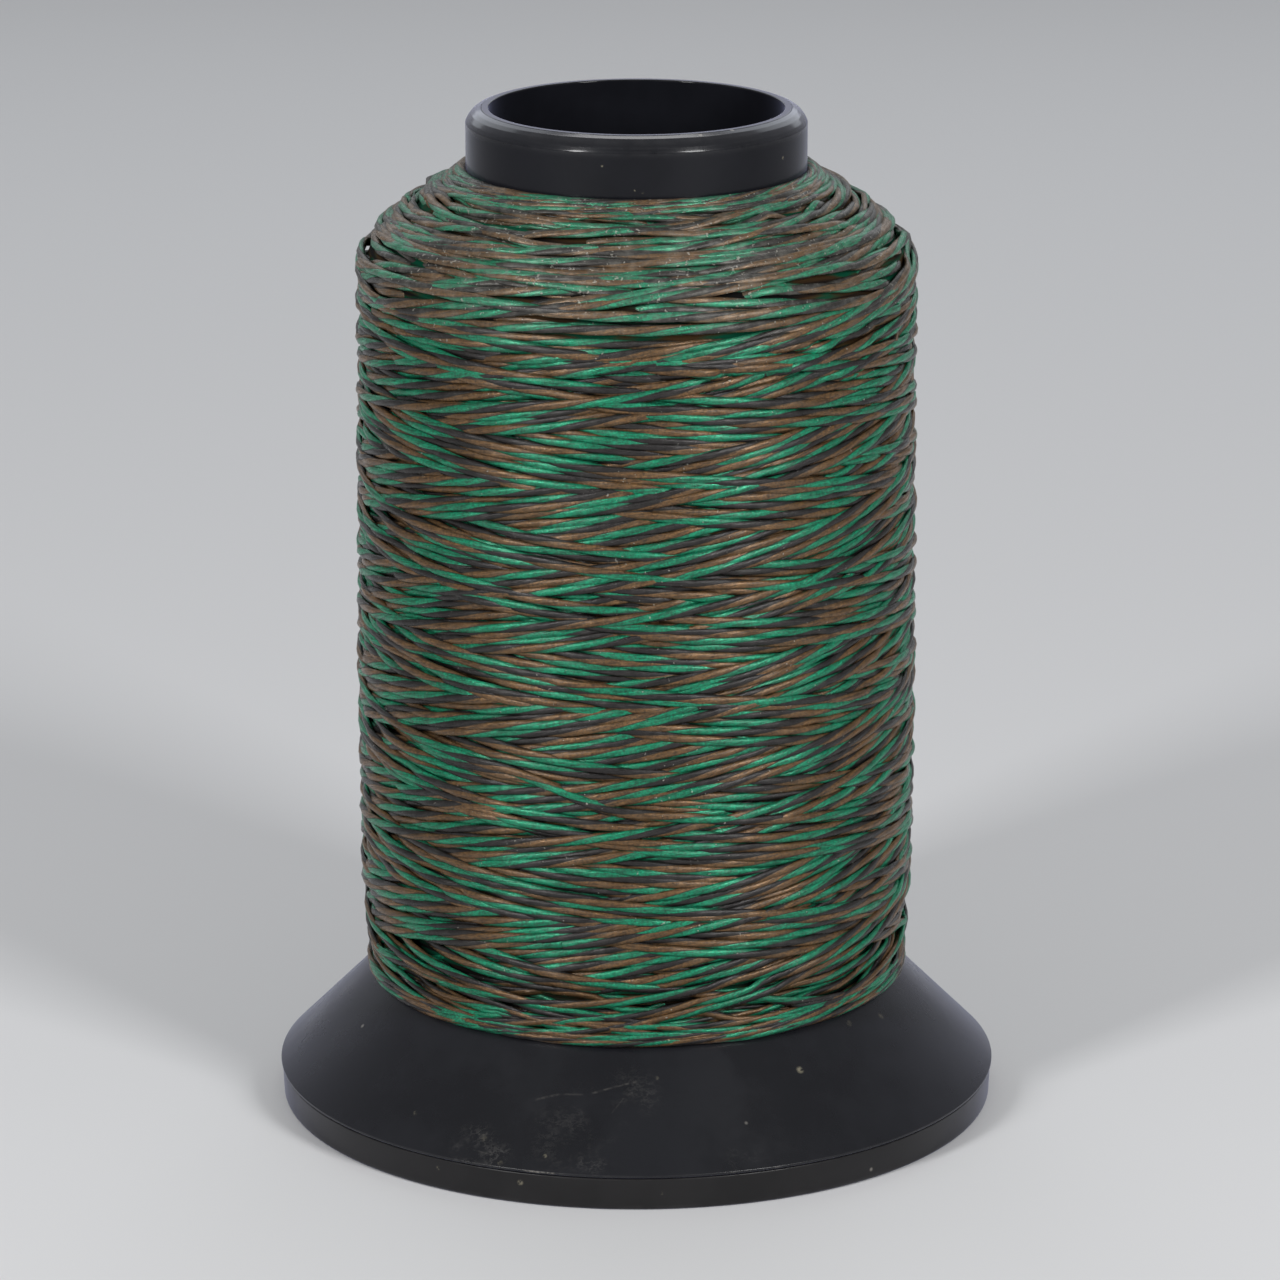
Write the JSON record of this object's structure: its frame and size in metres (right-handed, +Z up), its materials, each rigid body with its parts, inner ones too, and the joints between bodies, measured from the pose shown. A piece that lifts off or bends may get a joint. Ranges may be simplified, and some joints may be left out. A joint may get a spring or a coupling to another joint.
{
  "type": "line spool",
  "caption": "Line spool with a straight barrel, a collar, a conical foot flange and a clipped-on base, wound with cross-laid twisted line.",
  "frame": {"origin": "centre of the face that the spool stands on, at the bottom of the snap base's rim", "axes": "+Z up the spool's axis from the base to the collar; the part is round, so +X and +Y are any two square directions"},
  "size_m": [0.0766, 0.0766, 0.107],
  "materials": {
    "black_plastic": "satin",
    "base_plastic": "satin",
    "line": "satin"
  },
  "bodies": {
    "spool": {"barrel": "black_plastic", "top_collar": "black_plastic", "cone_flange": "black_plastic", "line_core": "line", "line_layer": "line"},
    "base": {"snap_base": "base_plastic"}
  },
  "joints": [
    {"name": "base_slide", "type": "slide", "parent": "spool", "child": "base", "axis": [0, 0, -1], "range_m": [0, 0.0025]}
  ]
}
